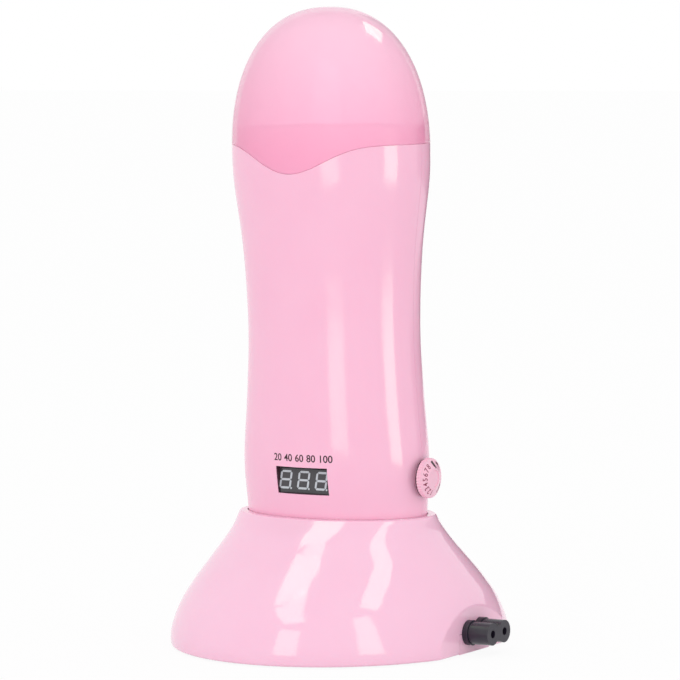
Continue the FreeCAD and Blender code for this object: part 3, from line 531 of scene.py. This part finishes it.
def scale_print():
    """A row of plain numbers above the display window."""
    number_height = 2.7 * MM
    middle_z = 73.5 * MM
    places_x = {20: -10.3, 40: -5.2, 60: -0.1, 80: 5.0, 100: 11.0}
    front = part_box("front_shell")[0].y
    held = Matrix(((1, 0, 0), (0, 0, -1), (0, 1, 0))).to_4x4()
    meshes = []
    for number, across in places_x.items():
        place = Matrix.Translation((across * MM, front - PRINT_LIFT, middle_z))
        meshes.append((number_mesh(str(number), number_height), place @ held))
    printed("scale_numbers", meshes, "front_shell", "handle")


# ---------------------------------------------------------------- painted shade in gaps
def window_gasket():
    """A thin dark lining in the display window, from the module's face to the shell's skin: painted
    shade of the gap round the module.
    """
    low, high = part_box("display_module")
    surface = BVHTree.FromObject(nodes["front_shell"], bpy.context.evaluated_depsgraph_get())
    fit = 0.2 * MM
    top_gap = 0.85 * MM
    thick = 0.12 * MM
    sunk = 0.15 * MM
    clear = 0.02 * MM
    probe_reach = 50 * MM
    stations = 16
    x0, x1 = low.x - fit, high.x + fit
    z0, z1 = low.z - fit, high.z + top_gap
    corners = [(x0, z0), (x1, z0), (x1, z1), (x0, z1)]
    outline = []
    for (xa, za), (xb, zb) in zip(corners, corners[1:] + corners[:1]):
        for step in range(stations):
            share = step / stations
            outline.append((xa + (xb - xa) * share, za + (zb - za) * share))
    middle = ((x0 + x1) / 2, (z0 + z1) / 2)
    back = low.y + fit
    section = []
    for x, z in outline:
        side_x = math.copysign(1, x - middle[0]) if abs(x - middle[0]) > (x1 - x0) / 2 - fit else 0
        side_z = math.copysign(1, z - middle[1]) if abs(z - middle[1]) > (z1 - z0) / 2 - fit else 0
        probe = Vector((x + side_x * fit, low.y - probe_reach, z + side_z * fit))
        front = surface.ray_cast(probe, Vector((0, 1, 0)))[0].y + sunk
        out_x, out_z = x - side_x * clear, z - side_z * clear
        in_x, in_z = x - side_x * (clear + thick), z - side_z * (clear + thick)
        section += [(out_x, front, out_z), (in_x, front, in_z)]
        section += [(in_x, back, in_z), (out_x, back, out_z)]
    mesh = bpy.data.meshes.new("window_gasket")
    mesh.from_pydata(section, [], grid_faces(len(outline), 4, closed=True))
    smooth_outward(mesh)
    for face in mesh.polygons:
        face.use_smooth = False
    add_piece(mesh, "shade_lining", "handle")


def dial_washer():
    """A dark ring behind the dial, painted shadow of the gap there, seen as a thin line at the edge of
    its rim.
    """
    dial_thick = 3.51 * MM
    thick = 0.5 * MM
    edge = 0.1 * MM
    outer = 7.4 * MM
    inner = 4.7 * MM
    columns = 96
    low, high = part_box("dial")
    back = high.x - dial_thick
    profile = [
        (back, inner),
        (back - thick, inner),
        (back - thick, outer - edge),
        (back - thick + edge, outer),
        (back, outer),
    ]
    middle_y, middle_z = (low.y + high.y) / 2, (low.z + high.z) / 2
    corners = []
    for x, reach in profile:
        for column in range(columns):
            angle = 2 * math.pi * column / columns
            corners.append((x, middle_y + reach * math.cos(angle), middle_z + reach * math.sin(angle)))
    mesh = bpy.data.meshes.new("dial_washer")
    mesh.from_pydata(corners, [], grid_faces(len(profile), columns, closed=True))
    smooth_outward(mesh)
    add_piece(mesh, "shade_lining", "dial")


dial_print()
scale_print()
window_gasket()
dial_washer()


# ---------------------------------------------------------------- stage, light and camera
WORLD_LIGHT = 0.9
FLOOR_PAINT = 0.9
FLOOR_GLOW = 0.93
STRIP_TINT = (0.75, 1.0, 0.68)  # greenish, so that a highlight on pink comes out near white
FILL_TINT = (0.35, 1.0, 0.68)  # greener still: it pales the cap's written pink
FLAG_GREY = (0.05, 0.045, 0.05, 1)
LIT_POINT = Vector((0, 0, 0.12))


def floor_and_world():
    """A pale floor that keeps a soft shadow, and an even white surround."""
    scene = bpy.context.scene
    size = 6.0
    mesh = bpy.data.meshes.new("floor")
    corners = [(-size, -size, 0), (size, -size, 0), (size, size, 0), (-size, size, 0)]
    mesh.from_pydata(corners, [], [(0, 1, 2, 3)])
    floor = bpy.data.objects.new("floor", mesh)
    scene.collection.objects.link(floor)
    material = bpy.data.materials.new("floor_white")
    material.use_nodes = True
    tree = material.node_tree
    tree.nodes.clear()
    output = tree.nodes.new("ShaderNodeOutputMaterial")
    paint = tree.nodes.new("ShaderNodeBsdfDiffuse")
    paint.inputs["Color"].default_value = (FLOOR_PAINT, FLOOR_PAINT, FLOOR_PAINT, 1)
    glow = tree.nodes.new("ShaderNodeEmission")
    mix = tree.nodes.new("ShaderNodeMixShader")
    seen = seen_directly(tree, FLOOR_GLOW)
    tree.links.new(seen, mix.inputs["Fac"])
    tree.links.new(paint.outputs["BSDF"], mix.inputs[1])
    tree.links.new(glow.outputs["Emission"], mix.inputs[2])
    tree.links.new(mix.outputs["Shader"], output.inputs["Surface"])
    mesh.materials.append(material)

    world = bpy.data.worlds.new("surround")
    scene.world = world
    world.use_nodes = True
    tree = world.node_tree
    background = tree.nodes["Background"]
    background.inputs["Color"].default_value = (1, 1, 1, 1)
    seen = seen_directly(tree, 1.0)
    strength = tree.nodes.new("ShaderNodeMapRange")
    strength.inputs["To Min"].default_value = WORLD_LIGHT
    strength.inputs["To Max"].default_value = 1.0
    tree.links.new(seen, strength.inputs["Value"])
    tree.links.new(strength.outputs["Result"], background.inputs["Strength"])


def seen_directly(tree, share):
    """share for camera, glossy and transmission rays, and 0 for the rest."""
    path = tree.nodes.new("ShaderNodeLightPath")
    total = path.outputs["Is Camera Ray"]
    for name in ("Is Glossy Ray", "Is Transmission Ray"):
        add = tree.nodes.new("ShaderNodeMath")
        add.operation = "ADD"
        tree.links.new(total, add.inputs[0])
        tree.links.new(path.outputs[name], add.inputs[1])
        total = add.outputs[0]
    scale = tree.nodes.new("ShaderNodeMath")
    scale.operation = "MULTIPLY"
    scale.use_clamp = True
    scale.inputs[1].default_value = share
    tree.links.new(total, scale.inputs[0])
    return scale.outputs[0]


def strip_lamp(name, body, start, end, width, radiance, tint=STRIP_TINT):
    """A long softbox from start to end, in metres, that faces the middle of the object. It is there
    for its reflection in one of the bodies: the surround and the key light give the plain light."""
    start = Vector(start)
    end = Vector(end)
    centre = (start + end) / 2
    along = (end - start).normalized()
    toward = (LIT_POINT - centre).normalized()
    across = along.cross(toward).normalized()
    facing = across.cross(along).normalized()
    lamp = bpy.data.lights.new(name, "AREA")
    lamp.shape = "RECTANGLE"
    lamp.size = width
    lamp.size_y = (end - start).length
    lamp.energy = radiance * math.pi * lamp.size * lamp.size_y
    lamp.color = tint
    lamp_object = bpy.data.objects.new(name, lamp)
    turn = Matrix((across, along, -facing)).transposed()
    if turn.determinant() < 0:
        turn = Matrix((-across, along, -facing)).transposed()
    lamp_object.matrix_world = Matrix.Translation(centre) @ turn.to_4x4()
    lamp_object.visible_diffuse = False
    lamp_object.light_linking.receiver_collection = REFLECTORS[body]
    bpy.context.scene.collection.objects.link(lamp_object)


def reflectors():
    """A collection for each body, so that a strip light shows in that body alone."""
    groups = {}
    for body, node_names in frame["record"]["behaviour"]["bodies"].items():
        group = bpy.data.collections.new("reflects_" + body)
        for node_name in node_names:
            group.objects.link(nodes[node_name])
        groups[body] = group
    for node in groups["dial"].objects:
        groups["handle"].objects.link(node)
    groups["cap"].objects.link(bpy.data.objects["cap_dome"])
    return groups


def key_lamp(name, azimuth, elevation, distance, side, share):
    """A wide soft light from the front: what faces it gets a share more than the surround gives."""
    azimuth = math.radians(azimuth)
    elevation = math.radians(elevation)
    level = math.cos(elevation)
    way = Vector((math.sin(azimuth) * level, -math.cos(azimuth) * level, math.sin(elevation)))
    lamp = bpy.data.lights.new(name, "AREA")
    lamp.size = side
    lamp.energy = share * math.pi * distance**2 * math.pi
    lamp_object = bpy.data.objects.new(name, lamp)
    lamp_object.location = LIT_POINT + way * distance
    lamp_object.rotation_euler = way.to_track_quat("Z", "Y").to_euler()
    lamp_object.visible_glossy = False
    bpy.context.scene.collection.objects.link(lamp_object)
    return lamp_object


def dark_flag(name, azimuth, width, height, distance):
    """A grey studio flag that stands behind the object, seen only as a reflection."""
    turn = math.radians(azimuth)
    centre = Vector((math.sin(turn), -math.cos(turn), 0)) * distance
    along = Vector((math.cos(turn), math.sin(turn), 0)) * (width / 2)
    mesh = bpy.data.meshes.new(name)
    corners = [centre - along, centre + along]
    corners += [corner + Vector((0, 0, height)) for corner in corners[::-1]]
    mesh.from_pydata(corners, [], [(0, 1, 2, 3)])
    material = bpy.data.materials.new(name + "_grey")
    material.use_nodes = True
    shader = material.node_tree.nodes["Principled BSDF"]
    shader.inputs["Base Color"].default_value = FLAG_GREY
    shader.inputs["Roughness"].default_value = 0.9
    mesh.materials.append(material)
    flag = bpy.data.objects.new(name, mesh)
    for ray in ("camera", "diffuse", "transmission", "shadow", "volume_scatter"):
        setattr(flag, f"visible_{ray}", False)
    bpy.context.scene.collection.objects.link(flag)


floor_and_world()
key_lamp("key", azimuth=20, elevation=24, distance=1.6, side=1.2, share=0.16)
dark_flag("flag_low", azimuth=160, width=1.3, height=0.27, distance=1.2)
dark_flag("flag_high", azimuth=187, width=0.55, height=1.2, distance=1.25)
REFLECTORS = reflectors()
# This one lights the cap alone.
cap_fill = key_lamp("cap_fill", azimuth=33, elevation=30, distance=1.6, side=0.8, share=0.42)
cap_fill.data.color = FILL_TINT
cap_fill.light_linking.receiver_collection = REFLECTORS["cap"]
# Each strip's name and body, the middles of its two ends, its width, its radiance, and a tint if it
# isn't STRIP_TINT.
STRIPS = [
    ("handle_left", "handle", (0.08, -0.85, 0.0), (0.04, -0.85, 0.7), 0.24, 3.2),
    ("handle_right", "handle", (0.8, -0.215, 0.0), (0.8, -0.16, 0.8), 0.3, 4.8),
    ("base_left_low", "base", (-0.06, -0.85, 0.03), (-0.06, -0.85, 0.58), 0.24, 3.4),
    ("base_left_middle", "base", (-0.08, -0.84, 0.88), (-0.33, -0.4, 1.12), 0.28, 4.0),
    ("base_left_top", "base", (-0.36, -0.41, 1.15), (-0.38, 0.03, 1.15), 0.3, 4.5),
    ("base_right_low", "base", (0.65, -0.49, 0.05), (0.65, -0.49, 1.1), 0.23, 3.6),
    ("base_right_top", "base", (0.585, -0.3, 1.2), (0.46, 0.04, 1.2), 0.26, 4.5),
    ("cap_left", "cap", (0.03, -0.85, 0.3), (0.03, -0.85, 1.0), 0.4, 0.8, (1, 1, 1)),
    ("cap_window", "cap", (0.097, 0.693, 1.075), (0.44, 0.334, 1.178), 0.32, 8),
]
for strip in STRIPS:
    strip_lamp(*strip)


def photo_camera():
    """The camera: azimuth from the front, distance, height, then its small turns."""
    azimuth = math.radians(32.67)
    distance = 1.60321
    height = 0.25907
    yaw = math.radians(0.08)
    pitch = math.radians(5.09)
    roll = math.radians(-1.05)
    sensor = 36.0
    focal_share = 6.19546
    place = Vector((distance * math.sin(azimuth), -distance * math.cos(azimuth), height))
    ahead = Vector((-math.sin(azimuth), math.cos(azimuth), 0))
    right = Vector((math.cos(azimuth), math.sin(azimuth), 0))
    up = Vector((0, 0, 1))
    ahead, right = (
        ahead * math.cos(yaw) + right * math.sin(yaw),
        right * math.cos(yaw) - ahead * math.sin(yaw),
    )
    ahead, up = (
        ahead * math.cos(pitch) - up * math.sin(pitch),
        up * math.cos(pitch) + ahead * math.sin(pitch),
    )
    right, up = (
        right * math.cos(roll) + up * math.sin(roll),
        up * math.cos(roll) - right * math.sin(roll),
    )
    data = bpy.data.cameras.new("camera")
    data.sensor_width = sensor
    data.lens = sensor * focal_share
    data.clip_start = 0.05
    data.clip_end = 50
    camera = bpy.data.objects.new("camera", data)
    camera.matrix_world = Matrix.Translation(place) @ Matrix((right, up, -ahead)).transposed().to_4x4()
    bpy.context.scene.collection.objects.link(camera)
    bpy.context.scene.camera = camera


photo_camera()
bpy.context.scene.view_settings.view_transform = "Standard"
